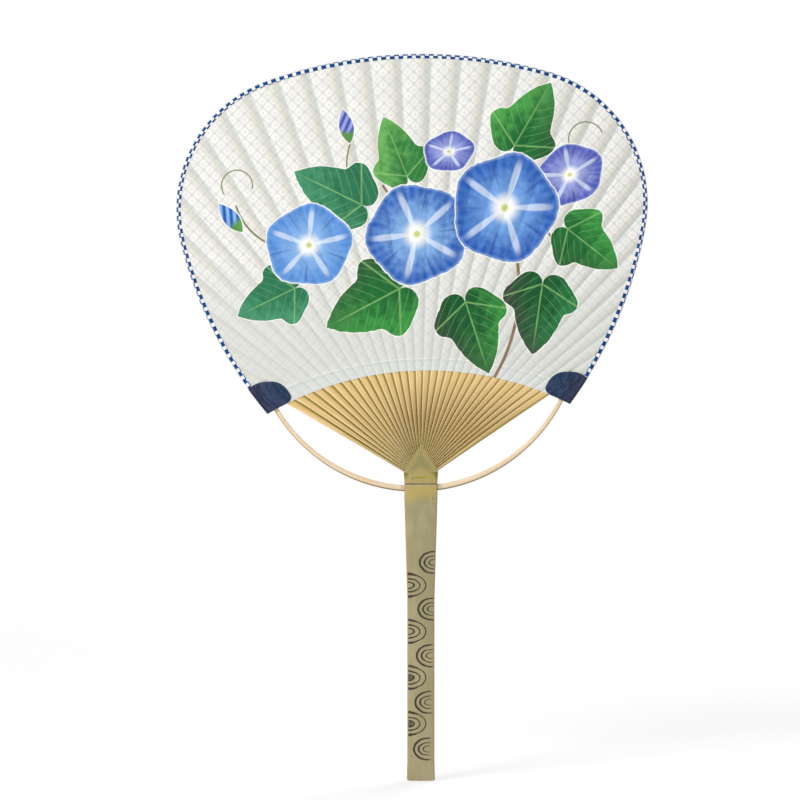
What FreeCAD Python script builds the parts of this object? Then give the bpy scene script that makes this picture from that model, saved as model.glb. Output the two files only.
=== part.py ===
import FreeCAD, Part

import math
import os

# A round hand fan. A flat stick of bamboo is split into thin ribs at its top, a bent bow and a
# woven thread hold the ribs spread, and two sheets of paper are pasted over them, with a narrow
# strip folded over the rim and an ear over each lower corner.
# Millimetres and degrees. X runs across the handle, Z from its butt end to the head, and the
# decorated side faces -Y. The butt end's centre is the origin.
# The head is drawn in its own frame, with the point that the ribs spread from at zero.

# Handle
FAN_CENTRE_HEIGHT = 158.2
STICK_THICKNESS = 5.6
STICK_CROWN = 0.5
STICK_EDGE_RADIUS = 1.0
BUTT_WIDTH = 14.5
BUTT_BEVEL = 0.5
BUTT_FLARE_LENGTH = 10.0
GRIP_WIDTH = 14.0
GRIP_LENGTH = 93.0
SHOULDER_WIDTH = 17.1
SHOULDER_DROP = 12.2
NODE_DROP = 5.2
NODE_GROOVE_WIDTH = 0.4
NODE_GROOVE_DEPTH = 0.2
SHAVE_DROP = 3.6
SHAVE_LENGTH = 6.4
TONGUE_HEIGHT = 16.0
TONGUE_BASE_HEIGHT = 0.9
TONGUE_WIDTH = 18.1
TONGUE_CROWN = 0.2
TONGUE_EDGE_RADIUS = 0.3

# Ribs, which stand nearly on edge at the tongue and lie flat under the paper. In between they
# overlap like slats of a blind. Towards the sides their roots are set out along the tongue's edge.
RIB_COUNT = 32
RIB_THICKNESS = 0.4
RIB_WIDTH = 3.2
RIB_ROOT_WIDTH = 3.1
RIB_FLAT_LEAD = 2.0
RIB_BOW_GAP = 1.0
RIB_BUNCH_ANGLE = 45.0
RIB_DRIFT_SHARE = 0.05
ROOT_TWIST = 16.0
TWIST_STEPS = 8
TWIST_POWER = 1.3
ROOT_SET_OUT = 2.8
SET_OUT_POWER = 5

# Head, a rim of tangent arcs over a lower edge of one arc, which meet at the corners
HEAD_LEAN = 1.9
HEAD_HEIGHT = 217.0
CROWN_RADIUS = 237.0
CROWN_HALF_ANGLE = 18.0
SHOULDER_RADIUS = 70.2
SHOULDER_END_ANGLE = 101.8
LOWER_EDGE_HEIGHT = 53.4
LOWER_EDGE_RADIUS = 164.0
CORNER_SPREAD = 78.0
PAPER_THICKNESS = 0.2
PAPER_MARGIN_ANGLE = 13.0

# Strip folded over the rim
BINDING_WIDTH = 3.0
BINDING_THICKNESS = 0.12
RIM_CLEARANCE = 0.05

# Bow, round in the handle and shaved flat at its tips, which are placed from the head's corners
BOW_DROP = 7.6
BOW_DIAMETER = 3.2
BOW_CLEARANCE = 0.15
BOW_ROUND_REACH = 13.0
BOW_TIP_RISE = 5.0
BOW_TIP_INSET = 5.75
BOW_TIP_WIDTH = 2.4
BOW_TIP_DEPTH = 0.8
BOW_TIP_LENGTH = 12.0
BOW_STATIONS = 8

# Thread, woven over and under the ribs and wound round the tips of the bow
THREAD_DIAMETER = 0.25
THREAD_CLEARANCE = 0.05
THREAD_RISE = 6.2
THREAD_LEAD = 2.4
THREAD_SIDES = 6
TIE_LENGTH = 2.6

# Room between the papers for the thread and the tips of the bow
CHANNEL_CLEARANCE = 0.25
POCKET_CLEARANCE = 0.05

# Ears, folded round the rim at the lower corners
EAR_RIM_LENGTH = 16.0
EAR_DEPTH = 15.3
EAR_THICKNESS = 0.15
EAR_OVERLAP = 3.0
EAR_CURVE_SHARES = (
    ((1.01, 0.0), (0.98, 0.36), (0.81, 0.67)),
    ((0.81, 0.67), (0.55, 0.94), (0.10, 1.0)),
    ((0.10, 1.0), (-0.07, 0.92), (-0.10, 0.72)),
)
EAR_TAIL_SHARES = ((-0.35, 0.66), (-0.35, -0.20), (1.01, -0.20))

# Every cutting shape runs past what it cuts by this much
OVERRUN = 2.0


def direction(angle):
    """Unit vector in the plane of the fan, turned clockwise from straight up."""
    turn = math.radians(angle)
    return FreeCAD.Vector(math.sin(turn), 0, math.cos(turn))


def clock(vector):
    """Clockwise angle of a vector in the plane of the fan."""
    return math.degrees(math.atan2(vector.x, vector.z))


def arc_angle(length, radius):
    """Angle that a length takes up along an arc."""
    return math.degrees(length / radius)


def across(depth):
    """Vector from the plane of the fan towards its back."""
    return FreeCAD.Vector(0, depth, 0)


def mirrored(point):
    """The same point on the other side of the head's axis."""
    return FreeCAD.Vector(-point.x, point.y, point.z)


def arc(centre, radius, start, end):
    """Arc edge in the plane of the fan, between two clockwise angles."""
    angles = (start, (start + end) / 2, end)
    points = [centre + direction(angle) * radius for angle in angles]
    return Part.Arc(*points).toShape()


def segment(start, end):
    """Straight edge between two points."""
    return Part.LineSegment(start, end).toShape()


def slab(edges, front, back):
    """Solid between two depths, from a closed run of edges in the plane of the fan."""
    face = Part.Face(Part.Wire(edges))
    face.translate(across(front))
    return face.extrude(across(back - front))


def outside_out(solid):
    """A solid with its faces turned outwards."""
    return solid if solid.Volume > 0 else solid.reversed()


def crossing(centre_a, radius_a, centre_b, radius_b):
    """The right-hand point where two circles in the plane of the fan cross."""
    apart = centre_b - centre_a
    along = (radius_a**2 - radius_b**2 + apart.Length**2) / (2 * apart.Length)
    aside = math.sqrt(radius_a**2 - along**2)
    forward = apart * (1 / apart.Length)
    sideways = FreeCAD.Vector(-forward.z, 0, forward.x)
    foot = centre_a + forward * along
    return max((foot + sideways * aside, foot - sideways * aside), key=lambda point: point.x)


def distance_to_circle(angle, centre, radius):
    """Length of a ray from the fan's centre to a circle that it leaves."""
    along = direction(angle).dot(centre)
    return along + math.sqrt(along**2 - centre.dot(centre) + radius**2)


CROWN_CENTRE = FreeCAD.Vector(0, 0, HEAD_HEIGHT - CROWN_RADIUS)
SHOULDER_CENTRE = CROWN_CENTRE + direction(CROWN_HALF_ANGLE) * (CROWN_RADIUS - SHOULDER_RADIUS)
LOWER_CENTRE = FreeCAD.Vector(0, 0, LOWER_EDGE_HEIGHT - LOWER_EDGE_RADIUS)
CORNER_RISE = math.sqrt(LOWER_EDGE_RADIUS**2 - CORNER_SPREAD**2)
CORNER = LOWER_CENTRE + FreeCAD.Vector(CORNER_SPREAD, 0, CORNER_RISE)

# Each side of the rim leaves the shoulder arc smoothly and ends at the lower corner
SHOULDER_END = SHOULDER_CENTRE + direction(SHOULDER_END_ANGLE) * SHOULDER_RADIUS
SIDE_SPAN = CORNER - SHOULDER_END
SIDE_RADIUS = -SIDE_SPAN.dot(SIDE_SPAN) / (2 * SIDE_SPAN.dot(direction(SHOULDER_END_ANGLE)))
SIDE_CENTRE = SHOULDER_END - direction(SHOULDER_END_ANGLE) * SIDE_RADIUS

# Depths from the middle of the fan to each layer
CREST_DEPTH = RIB_THICKNESS / 2
PAPER_DEPTH = CREST_DEPTH + PAPER_THICKNESS
BINDING_DEPTH = PAPER_DEPTH + BINDING_THICKNESS
CHANNEL_DEPTH = CREST_DEPTH + THREAD_DIAMETER + 2 * THREAD_CLEARANCE
POCKET_DEPTH = BOW_TIP_DEPTH / 2 + THREAD_DIAMETER + POCKET_CLEARANCE
SWELL_DEPTH = max(POCKET_DEPTH + PAPER_THICKNESS, BINDING_DEPTH)
EAR_FACE_DEPTH = SWELL_DEPTH + EAR_THICKNESS

# The head stands on the handle, leaning a little to the left
HEAD_PLACE = FreeCAD.Placement(
    FreeCAD.Vector(0, 0, FAN_CENTRE_HEIGHT),
    FreeCAD.Rotation(across(1), -HEAD_LEAN),
)


def on_handle(shape):
    """A shape of the head, in the frame of the whole fan."""
    return shape.transformed(HEAD_PLACE.toMatrix())


def corner(inset):
    """Right-hand lower corner of the head, with its rim drawn in by an inset."""
    return crossing(SIDE_CENTRE, SIDE_RADIUS - inset, LOWER_CENTRE, LOWER_EDGE_RADIUS)


def corner_angle(inset):
    """Where the side arc of the rim ends, seen from that arc's centre."""
    return clock(corner(inset) - SIDE_CENTRE)


def rim(inset, end):
    """Arcs of the rim, from its left-hand end over the crown to its right-hand end."""
    return [
        arc(mirrored(SIDE_CENTRE), SIDE_RADIUS - inset, -end, -SHOULDER_END_ANGLE),
        arc(mirrored(SHOULDER_CENTRE), SHOULDER_RADIUS - inset, -SHOULDER_END_ANGLE, -CROWN_HALF_ANGLE),
        arc(CROWN_CENTRE, CROWN_RADIUS - inset, -CROWN_HALF_ANGLE, CROWN_HALF_ANGLE),
        arc(SHOULDER_CENTRE, SHOULDER_RADIUS - inset, CROWN_HALF_ANGLE, SHOULDER_END_ANGLE),
        arc(SIDE_CENTRE, SIDE_RADIUS - inset, SHOULDER_END_ANGLE, end),
    ]


def side_point(inset, angle):
    """Point of the right-hand side arc of the rim."""
    return SIDE_CENTRE + direction(angle) * (SIDE_RADIUS - inset)


def arc_through(top, end):
    """Centre and radius of the arc, level at a point on the head's axis, that passes through an end."""
    rise = end.z - top
    radius = (end.x**2 + rise**2) / (2 * abs(rise))
    return FreeCAD.Vector(0, 0, top + math.copysign(radius, rise)), radius


EAR_TOP = side_point(0, corner_angle(0) - arc_angle(EAR_RIM_LENGTH, SIDE_RADIUS))
RIM_UPWARD = (EAR_TOP - CORNER).normalize()
RIM_INWARD = direction(clock(RIM_UPWARD) - 90)

BOW_TIP = CORNER + RIM_UPWARD * BOW_TIP_RISE + RIM_INWARD * BOW_TIP_INSET
BOW_CENTRE, BOW_RADIUS = arc_through(-BOW_DROP, BOW_TIP)
BOW_HALF_ANGLE = 180 - clock(BOW_TIP - BOW_CENTRE)
BOW_ROUND_ANGLE = arc_angle(BOW_ROUND_REACH, BOW_RADIUS)
BOW_FLAT_ANGLE = BOW_HALF_ANGLE - arc_angle(BOW_TIP_LENGTH, BOW_RADIUS)


def bow_point(angle):
    """Point on the middle line of the bow, at an angle from its lowest point."""
    return BOW_CENTRE + direction(180 - angle) * BOW_RADIUS


# The outermost ribs pass just inside the bow's tips, and the thread ends at the tips
TIP_ROOM = RIB_WIDTH / 2 + RIB_BOW_GAP + THREAD_DIAMETER + BOW_TIP_WIDTH / 2
FAN_HALF_ANGLE = clock(BOW_TIP) - arc_angle(TIP_ROOM, BOW_TIP.Length)
THREAD_END = bow_point(BOW_HALF_ANGLE + arc_angle(THREAD_LEAD, BOW_RADIUS))
THREAD_CENTRE, THREAD_ARC_RADIUS = arc_through(LOWER_EDGE_HEIGHT + THREAD_RISE, THREAD_END)


def paper_outline(inset):
    """Closed outline of a sheet: the rim and the arched lower edge."""
    right = corner(inset)
    top = FreeCAD.Vector(0, 0, LOWER_EDGE_HEIGHT)
    lower_edge = Part.Arc(right, top, mirrored(right)).toShape()
    return rim(inset, corner_angle(inset)) + [lower_edge]


def open_outline(inset):
    """Closed outline of the rim that runs on past the lower edge, down to below the fan's centre."""
    end = corner_angle(inset) + arc_angle(OVERRUN, SIDE_RADIUS)
    right = side_point(inset, end)
    foot = FreeCAD.Vector(0, 0, -FAN_CENTRE_HEIGHT / 2)
    return rim(inset, end) + [segment(right, foot), segment(foot, mirrored(right))]


def rib_angle(number):
    """Direction of a rib, counted from the left. The ribs bunch towards the sides, most at the right."""
    share = 2 * number / (RIB_COUNT - 1) - 1
    step = RIB_BUNCH_ANGLE * (share + RIB_DRIFT_SHARE * (1 - share**2))
    return FAN_HALF_ANGLE * math.sin(math.radians(step)) / math.sin(math.radians(RIB_BUNCH_ANGLE))


RIB_NUMBERS = range(RIB_COUNT)
PAPER_INSET = BINDING_THICKNESS + RIM_CLEARANCE
TONGUE_SLOPE = (TONGUE_HEIGHT - TONGUE_BASE_HEIGHT) / (TONGUE_WIDTH / 2)


def stick_section(height, width, thickness, crown, edge):
    """Section of the stick: flat at the back, crowned at the front, with rounded edges."""
    side = width / 2
    back = thickness / 2
    front = crown - thickness / 2
    bend = edge * (1 - math.sqrt(0.5))

    def at(x, y):
        return FreeCAD.Vector(x, y, height)

    def round_edge(start, middle, end):
        return Part.Arc(at(*start), at(*middle), at(*end)).toShape()

    return Part.Wire([
        round_edge((-side, back - edge), (bend - side, back - bend), (edge - side, back)),
        segment(at(edge - side, back), at(side - edge, back)),
        round_edge((side - edge, back), (side - bend, back - bend), (side, back - edge)),
        segment(at(side, back - edge), at(side, front + edge)),
        round_edge((side, front + edge), (side - bend, front + bend), (side - edge, front)),
        round_edge((side - edge, front), (0, front - crown), (edge - side, front)),
        round_edge((edge - side, front), (bend - side, front + bend), (-side, front + edge)),
        segment(at(-side, front + edge), at(-side, back - edge)),
    ])


def unsplit_wood():
    """Slab whose peaked top is the line where the splits between the ribs end."""
    side = TONGUE_WIDTH / 2 + OVERRUN
    eave = FAN_CENTRE_HEIGHT + TONGUE_HEIGHT - TONGUE_SLOPE * side
    outline = [(-side, -OVERRUN), (side, -OVERRUN), (side, eave)]
    outline += [(0, FAN_CENTRE_HEIGHT + TONGUE_HEIGHT), (-side, eave)]
    points = [FreeCAD.Vector(x, 0, z) for x, z in outline]
    edges = [segment(start, end) for start, end in zip(points, points[1:] + points[:1])]
    return slab(edges, -STICK_THICKNESS, STICK_THICKNESS)


def bow_section(angle, margin):
    """Oval section of the bow, with a margin all round."""
    share = (abs(angle) - BOW_ROUND_ANGLE) / (BOW_FLAT_ANGLE - BOW_ROUND_ANGLE)
    share = min(max(share, 0), 1)
    share = share * share * (3 - 2 * share)
    half_width = (BOW_DIAMETER + (BOW_TIP_WIDTH - BOW_DIAMETER) * share) / 2 + margin
    half_depth = (BOW_DIAMETER + (BOW_TIP_DEPTH - BOW_DIAMETER) * share) / 2 + margin
    outward = direction(180 - angle) * half_width
    place = bow_point(angle)
    stretch = FreeCAD.Matrix(
        outward.x, 0, 0, place.x,
        outward.y, half_depth, 0, place.y,
        outward.z, 0, half_width, place.z,
    )
    return Part.Wire([Part.Circle().toShape().transformGeometry(stretch)])


def make_bow():
    """Bent rod, as a loft through its sections from tip to tip."""
    inner = [BOW_ROUND_ANGLE * step / 2 for step in (-2, -1, 0, 1, 2)]
    span = BOW_FLAT_ANGLE - BOW_ROUND_ANGLE
    slope = [BOW_ROUND_ANGLE + span * step / BOW_STATIONS for step in range(1, BOW_STATIONS + 1)]
    tip = [(BOW_FLAT_ANGLE + BOW_HALF_ANGLE) / 2, BOW_HALF_ANGLE]
    right = slope + tip
    angles = [-angle for angle in reversed(right)] + inner + right
    return Part.makeLoft([bow_section(angle, 0) for angle in angles], True, False)


def make_bow_hole():
    """Ring segment that the hole for the bow is bored with."""
    reach = arc_angle(SHOULDER_WIDTH / 2 + OVERRUN, BOW_RADIUS)
    circle = Part.Circle(bow_point(-reach), direction(90 + reach), BOW_DIAMETER / 2 + BOW_CLEARANCE)
    disc = Part.Face(Part.Wire([circle.toShape()]))
    return disc.revolve(BOW_CENTRE, across(-1), 2 * reach)


def make_node_groove():
    """Ring that the groove of the bamboo's joint is cut with, round the shoulder of the stick."""
    middle = FAN_CENTRE_HEIGHT - NODE_DROP
    ends = (middle - NODE_GROOVE_WIDTH / 2, middle + NODE_GROOVE_WIDTH / 2)

    def block(margin):
        size = (SHOULDER_WIDTH + 2 * margin, STICK_THICKNESS + 2 * margin)
        sections = [stick_section(height, *size, STICK_CROWN, STICK_EDGE_RADIUS) for height in ends]
        return Part.makeLoft(sections, True, True)

    return block(OVERRUN).cut(block(-NODE_GROOVE_DEPTH))


def make_handle(bow_hole):
    """Stick from its bevelled butt to the peak of the tongue, bored for the bow."""
    shave_start = FAN_CENTRE_HEIGHT - SHAVE_DROP
    butt = (BUTT_WIDTH - 2 * BUTT_BEVEL, STICK_THICKNESS - 2 * BUTT_BEVEL)
    body = (STICK_CROWN, STICK_EDGE_RADIUS)
    tongue = (TONGUE_WIDTH, RIB_ROOT_WIDTH, TONGUE_CROWN, TONGUE_EDGE_RADIUS)
    sections = [
        stick_section(0, *butt, *body),
        stick_section(BUTT_BEVEL, BUTT_WIDTH, STICK_THICKNESS, *body),
        stick_section(BUTT_FLARE_LENGTH, GRIP_WIDTH, STICK_THICKNESS, *body),
        stick_section(GRIP_LENGTH, GRIP_WIDTH, STICK_THICKNESS, *body),
        stick_section(FAN_CENTRE_HEIGHT - SHOULDER_DROP, SHOULDER_WIDTH, STICK_THICKNESS, *body),
        stick_section(shave_start, SHOULDER_WIDTH, STICK_THICKNESS, *body),
        stick_section(shave_start + SHAVE_LENGTH, *tongue),
        stick_section(FAN_CENTRE_HEIGHT + TONGUE_HEIGHT + OVERRUN, *tongue),
    ]
    stick = Part.makeLoft(sections, True, True)
    return stick.common(unsplit_wood()).cut(make_node_groove()).cut(bow_hole)


def rib_section(angle, distance, twist=90, width=RIB_WIDTH, aside=0):
    """Section of a rib: on edge at no twist, flat in the plane of the fan at a right angle."""
    turn = math.radians(twist)
    sideways = direction(angle + 90)
    wide = (across(math.cos(turn)) + sideways * math.sin(turn)) * (width / 2)
    thin = (across(-math.sin(turn)) + sideways * math.cos(turn)) * (RIB_THICKNESS / 2)
    middle = direction(angle) * distance + sideways * aside
    corners = [middle + wide + thin, middle - wide + thin, middle - wide - thin, middle + wide - thin]
    return Part.makePolygon(corners + corners[:1])


def tongue_distance(angle):
    """Distance along a ray from the fan's centre to the sloping edge of the tongue."""
    ray = direction(angle - HEAD_LEAN)
    return TONGUE_HEIGHT / (ray.z + TONGUE_SLOPE * abs(ray.x))


def make_rib(number, wood, region):
    """One rib, from the edge of the tongue to the rim, which it is trimmed along."""
    angle = rib_angle(number)
    root = tongue_distance(angle) - OVERRUN
    flat = distance_to_circle(angle, LOWER_CENTRE, LOWER_EDGE_RADIUS) - RIB_FLAT_LEAD
    set_out = ROOT_SET_OUT * math.copysign(abs(angle / FAN_HALF_ANGLE) ** SET_OUT_POWER, angle)
    sections = []
    for step in range(TWIST_STEPS + 1):
        share = step / TWIST_STEPS
        distance = root + (flat - root) * share
        twist = ROOT_TWIST + (90 - ROOT_TWIST) * share**TWIST_POWER
        width = RIB_ROOT_WIDTH + (RIB_WIDTH - RIB_ROOT_WIDTH) * share
        sections.append(rib_section(angle, distance, twist, width, set_out * (1 - share) ** TWIST_POWER))
    sections.append(rib_section(angle, HEAD_HEIGHT + OVERRUN))
    slat = Part.makeLoft(sections, True, True)
    return on_handle(slat.common(region)).cut(wood)


def sheet_lines():
    """Crest and valley lines of a sheet over the ribs: inner end, outer end and depth of each."""
    far = HEAD_HEIGHT + OVERRUN
    angles = [rib_angle(number) for number in RIB_NUMBERS]
    valleys = [(left + right) / 2 for left, right in zip(angles, angles[1:])]
    valleys = [2 * angles[0] - valleys[0], *valleys, 2 * angles[-1] - valleys[-1]]
    margin = angles[-1] + PAPER_MARGIN_ANGLE

    def line(angle, aside, depth):
        near = distance_to_circle(angle, LOWER_CENTRE, LOWER_EDGE_RADIUS) - RIB_FLAT_LEAD / 2
        shift = direction(angle + 90) * aside
        return direction(angle) * near + shift, direction(angle) * far + shift, depth

    lines = [line(-margin, 0, 0), line(valleys[0], 0, 0)]
    for angle, valley in zip(angles, valleys[1:]):
        lines.append(line(angle, -RIB_WIDTH / 2, CREST_DEPTH))
        lines.append(line(angle, RIB_WIDTH / 2, CREST_DEPTH))
        lines.append(line(valley, 0, 0))
    lines.append(line(margin, 0, 0))
    return lines


def make_ridged_sheet():
    """Front sheet before trimming: flat over each rib and folded down to a valley between ribs."""
    lines = sheet_lines()

    def facet(*corners):
        return Part.Face(Part.makePolygon(list(corners) + [corners[0]]))

    faces = []
    for (near_a, far_a, depth_a), (near_b, far_b, depth_b) in zip(lines, lines[1:]):
        for layer in (0, PAPER_THICKNESS):
            lift_a = across(-depth_a - layer)
            lift_b = across(-depth_b - layer)
            faces.append(facet(near_a + lift_a, far_a + lift_a, far_b + lift_b))
            faces.append(facet(near_a + lift_a, far_b + lift_b, near_b + lift_b))
        for end_a, end_b in ((near_a, near_b), (far_a, far_b)):
            inner_a = end_a + across(-depth_a)
            inner_b = end_b + across(-depth_b)
            lift = across(-PAPER_THICKNESS)
            faces.append(facet(inner_a, inner_b, inner_b + lift, inner_a + lift))
    for near, far, depth in (lines[0], lines[-1]):
        inner = across(-depth)
        lift = across(-depth - PAPER_THICKNESS)
        faces.append(facet(near + inner, far + inner, far + lift, near + lift))
    shell = Part.makeShell(faces)
    shell.sewShape()
    return outside_out(Part.makeSolid(shell))


def band(centre, radius, half_width, start, end):
    """Closed outline of a band along an arc."""
    outer = arc(centre, radius + half_width, start, end)
    inner = arc(centre, radius - half_width, end, start)
    links = [centre + direction(end) * (radius + side * half_width) for side in (1, -1)]
    links += [centre + direction(start) * (radius + side * half_width) for side in (-1, 1)]
    return [outer, segment(links[0], links[1]), inner, segment(links[2], links[3])]


def thread_crossings():
    """Where the thread's arc meets each rib: the point, and the arc's own angle there."""
    places = []
    for number in RIB_NUMBERS:
        angle = rib_angle(number)
        point = direction(angle) * distance_to_circle(angle, THREAD_CENTRE, THREAD_ARC_RADIUS)
        places.append((number, point, clock(point - THREAD_CENTRE)))
    return places


def crossing_half_length(number, arc_direction):
    """Half the length of thread that lies on a rib, which the thread crosses at a slant."""
    return RIB_WIDTH / 2 / math.cos(math.radians(rib_angle(number) - arc_direction))


def thread_path():
    """Corner points of the thread, from tie to tie, each with its depth from the plane of the fan."""
    lift = CREST_DEPTH + THREAD_DIAMETER / 2 + THREAD_CLEARANCE
    tie = BOW_HALF_ANGLE - arc_angle(TIE_LENGTH / 2, BOW_RADIUS)
    path = [(bow_point(-tie), 0)]
    for number, point, arc_direction in thread_crossings():
        along = direction(arc_direction + 90) * crossing_half_length(number, arc_direction)
        depth = lift if number % 2 else -lift
        path += [(point - along, depth), (point + along, depth)]
    return path + [(bow_point(tie), 0)]


def make_paper_room(wall):
    """Front room between the papers for the thread and the bow's tips, with a wall all round."""
    last, _ = thread_path()[-2]
    half_width = THREAD_DIAMETER / 2 + CHANNEL_CLEARANCE + wall
    end = clock(last - THREAD_CENTRE) + arc_angle(half_width, THREAD_ARC_RADIUS)
    channel = band(THREAD_CENTRE, THREAD_ARC_RADIUS, half_width, -end, end)
    room = slab(channel, -CHANNEL_DEPTH - wall, 0)
    tip = 180 - clock(last - BOW_CENTRE) + arc_angle(half_width, BOW_RADIUS)
    half_width = BOW_TIP_WIDTH / 2 + THREAD_DIAMETER + CHANNEL_CLEARANCE + wall
    for start, end in ((180 - BOW_FLAT_ANGLE, 180 - tip), (180 + BOW_FLAT_ANGLE, 180 + tip)):
        pocket = band(BOW_CENTRE, BOW_RADIUS, half_width, start, end)
        room = room.fuse(slab(pocket, -POCKET_DEPTH - wall, 0))
    return room


def make_rib_room():
    """Flat stretches of all the ribs, which the walls of the papers' swellings stand clear of."""
    rooms = []
    for number in RIB_NUMBERS:
        angle = rib_angle(number)
        near = distance_to_circle(angle, LOWER_CENTRE, LOWER_EDGE_RADIUS) - RIB_FLAT_LEAD
        ends = [rib_section(angle, distance) for distance in (near, HEAD_HEIGHT + OVERRUN)]
        rooms.append(Part.makeLoft(ends, True, True))
    return Part.makeCompound(rooms)


def make_papers():
    """Front sheet and its mirror image at the back."""
    trim = slab(paper_outline(PAPER_INSET), -EAR_FACE_DEPTH, 0)
    swollen = make_ridged_sheet().fuse(make_paper_room(PAPER_THICKNESS).cut(make_rib_room()))
    front = swollen.common(trim).cut(make_paper_room(0)).removeSplitter()
    back = front.mirror(FreeCAD.Vector(), across(1))
    return on_handle(front), on_handle(back)


def make_tie(bow, side):
    """Thread wound round one tip of the bow, as a collar."""
    near = BOW_HALF_ANGLE - arc_angle(TIE_LENGTH, BOW_RADIUS)
    ends = [bow_section(side * angle, THREAD_DIAMETER) for angle in (near, BOW_HALF_ANGLE)]
    collar = Part.makeLoft(ends, True, True)
    return collar, collar.cut(bow)


def thread_section(point, depth, before, after):
    """Many-sided section of the thread, mitred between the stretches before and after it."""
    heading = (before + after).normalize()
    outward = FreeCAD.Vector(-heading.z, 0, heading.x) * (1 / heading.dot(after))
    corners = []
    for step in range(THREAD_SIDES):
        turn = 2 * math.pi * step / THREAD_SIDES
        spoke = outward * math.cos(turn) + across(math.sin(turn))
        corners.append(point + across(depth) + spoke * (THREAD_DIAMETER / 2))
    return Part.makePolygon(corners + corners[:1])


def make_thread(collars):
    """Thread from one tie to the other, in front of one rib and behind the next."""
    path = thread_path()
    steps = [(end - start).normalize() for (start, _), (end, _) in zip(path, path[1:])]
    befores = steps[:1] + steps
    afters = steps + steps[-1:]
    sections = [thread_section(*place, *turn) for place, turn in zip(path, zip(befores, afters))]
    thread = outside_out(Part.makeLoft(sections, True, True))
    return thread.cut(collars[0]).cut(collars[1])


def make_binding():
    """Strip folded over the rim, from under one ear to under the other."""
    end = corner_angle(0) - arc_angle(EAR_RIM_LENGTH - EAR_OVERLAP, SIDE_RADIUS)

    def rim_band(inset):
        outer = rim(0, end)
        inner = rim(inset, end)
        right = segment(side_point(0, end), side_point(inset, end))
        left = segment(mirrored(side_point(inset, end)), mirrored(side_point(0, end)))
        return outer + [right] + inner[::-1] + [left]

    strip = slab(rim_band(BINDING_WIDTH), -BINDING_DEPTH, BINDING_DEPTH)
    filling = slab(open_outline(BINDING_THICKNESS), -PAPER_DEPTH, PAPER_DEPTH)
    return strip.cut(filling)


def make_ear(side):
    """Patch folded round one lower corner, with a rounded tongue on both faces."""

    def at(shares):
        along, deep = shares
        point = CORNER + (EAR_TOP - CORNER) * along + RIM_INWARD * (EAR_DEPTH * deep)
        return point if side > 0 else mirrored(point)

    edges = [Part.Arc(*[at(shares) for shares in curve]).toShape() for curve in EAR_CURVE_SHARES]
    tail = [EAR_CURVE_SHARES[-1][-1], *EAR_TAIL_SHARES, EAR_CURVE_SHARES[0][0]]
    edges += [segment(at(start), at(end)) for start, end in zip(tail, tail[1:])]
    patch = slab(edges, -EAR_FACE_DEPTH, EAR_FACE_DEPTH)
    folded = patch.common(slab(paper_outline(-EAR_THICKNESS), -EAR_FACE_DEPTH, EAR_FACE_DEPTH))
    return on_handle(folded.cut(slab(open_outline(0), -SWELL_DEPTH, SWELL_DEPTH)))


def make_fan():
    """Every piece of the fan by name."""
    wood = unsplit_wood()
    region = slab(open_outline(PAPER_INSET), -RIB_WIDTH, RIB_WIDTH)
    bow = make_bow()
    left_collar, left_tie = make_tie(bow, -1)
    right_collar, right_tie = make_tie(bow, 1)
    front_paper, back_paper = make_papers()
    pieces = {
        "handle": make_handle(on_handle(make_bow_hole())),
        "bow": on_handle(bow),
        "weaving_thread": on_handle(make_thread((left_collar, right_collar))),
        "left_tie": on_handle(left_tie),
        "right_tie": on_handle(right_tie),
        "front_paper": front_paper,
        "back_paper": back_paper,
        "edge_binding": on_handle(make_binding()),
        "left_ear": make_ear(-1),
        "right_ear": make_ear(1),
    }
    for number in RIB_NUMBERS:
        pieces[f"rib_{number + 1:02d}"] = make_rib(number, wood, region)
    return pieces


os.makedirs("parts", exist_ok=True)
for name, piece in make_fan().items():
    piece.exportStep(f"parts/{name}.step")
    box = piece.BoundBox
    print(f"{name}: {len(piece.Solids)} solid, {piece.Volume:.2f} mm3, z {box.ZMin:.1f} to {box.ZMax:.1f}")
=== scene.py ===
# %% [markdown]
# # A round hand fan of bamboo and paper
# The frame holds the fan as it was drawn for making: a flat bamboo stick, its ribs, the bow, and
# the sheets and strips of paper. This lesson gives each of them the shape and finish that the eye
# expects. The frame comes first, because every piece is set against it.

import math

import bmesh
import bpy
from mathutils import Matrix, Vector
from mathutils.geometry import delaunay_2d_cdt


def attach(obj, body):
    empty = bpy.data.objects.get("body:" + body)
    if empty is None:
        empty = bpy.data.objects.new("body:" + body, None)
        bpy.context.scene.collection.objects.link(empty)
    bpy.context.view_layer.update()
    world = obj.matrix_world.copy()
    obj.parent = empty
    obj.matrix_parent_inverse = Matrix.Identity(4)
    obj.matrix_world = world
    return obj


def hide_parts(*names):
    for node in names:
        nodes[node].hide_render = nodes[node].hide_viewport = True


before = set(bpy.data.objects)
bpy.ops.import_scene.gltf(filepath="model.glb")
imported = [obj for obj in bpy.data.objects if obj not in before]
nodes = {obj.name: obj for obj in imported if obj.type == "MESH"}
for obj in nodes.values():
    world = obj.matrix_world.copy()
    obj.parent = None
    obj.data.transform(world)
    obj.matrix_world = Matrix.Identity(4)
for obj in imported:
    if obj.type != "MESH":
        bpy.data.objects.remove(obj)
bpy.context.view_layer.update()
scene = bpy.context.scene

# %% [markdown]
# ## Sums that build nodes
# Both the paint on the paper and the shape of the ribs follow rules, and a rule is a sum. Nodes
# could be added and linked one by one, but then the rule is hard to read. So one small class wraps
# a socket, and a sum written in Python adds the nodes that work it out. It serves shader trees and
# geometry trees alike, because both use the same Math node.

# %% A socket that can stand in a sum
def sum_by(operation):
    """A method that adds the Math node of one operation."""

    def method(wire, *others):
        return wire.math(operation, wire, *others)

    return method


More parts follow.
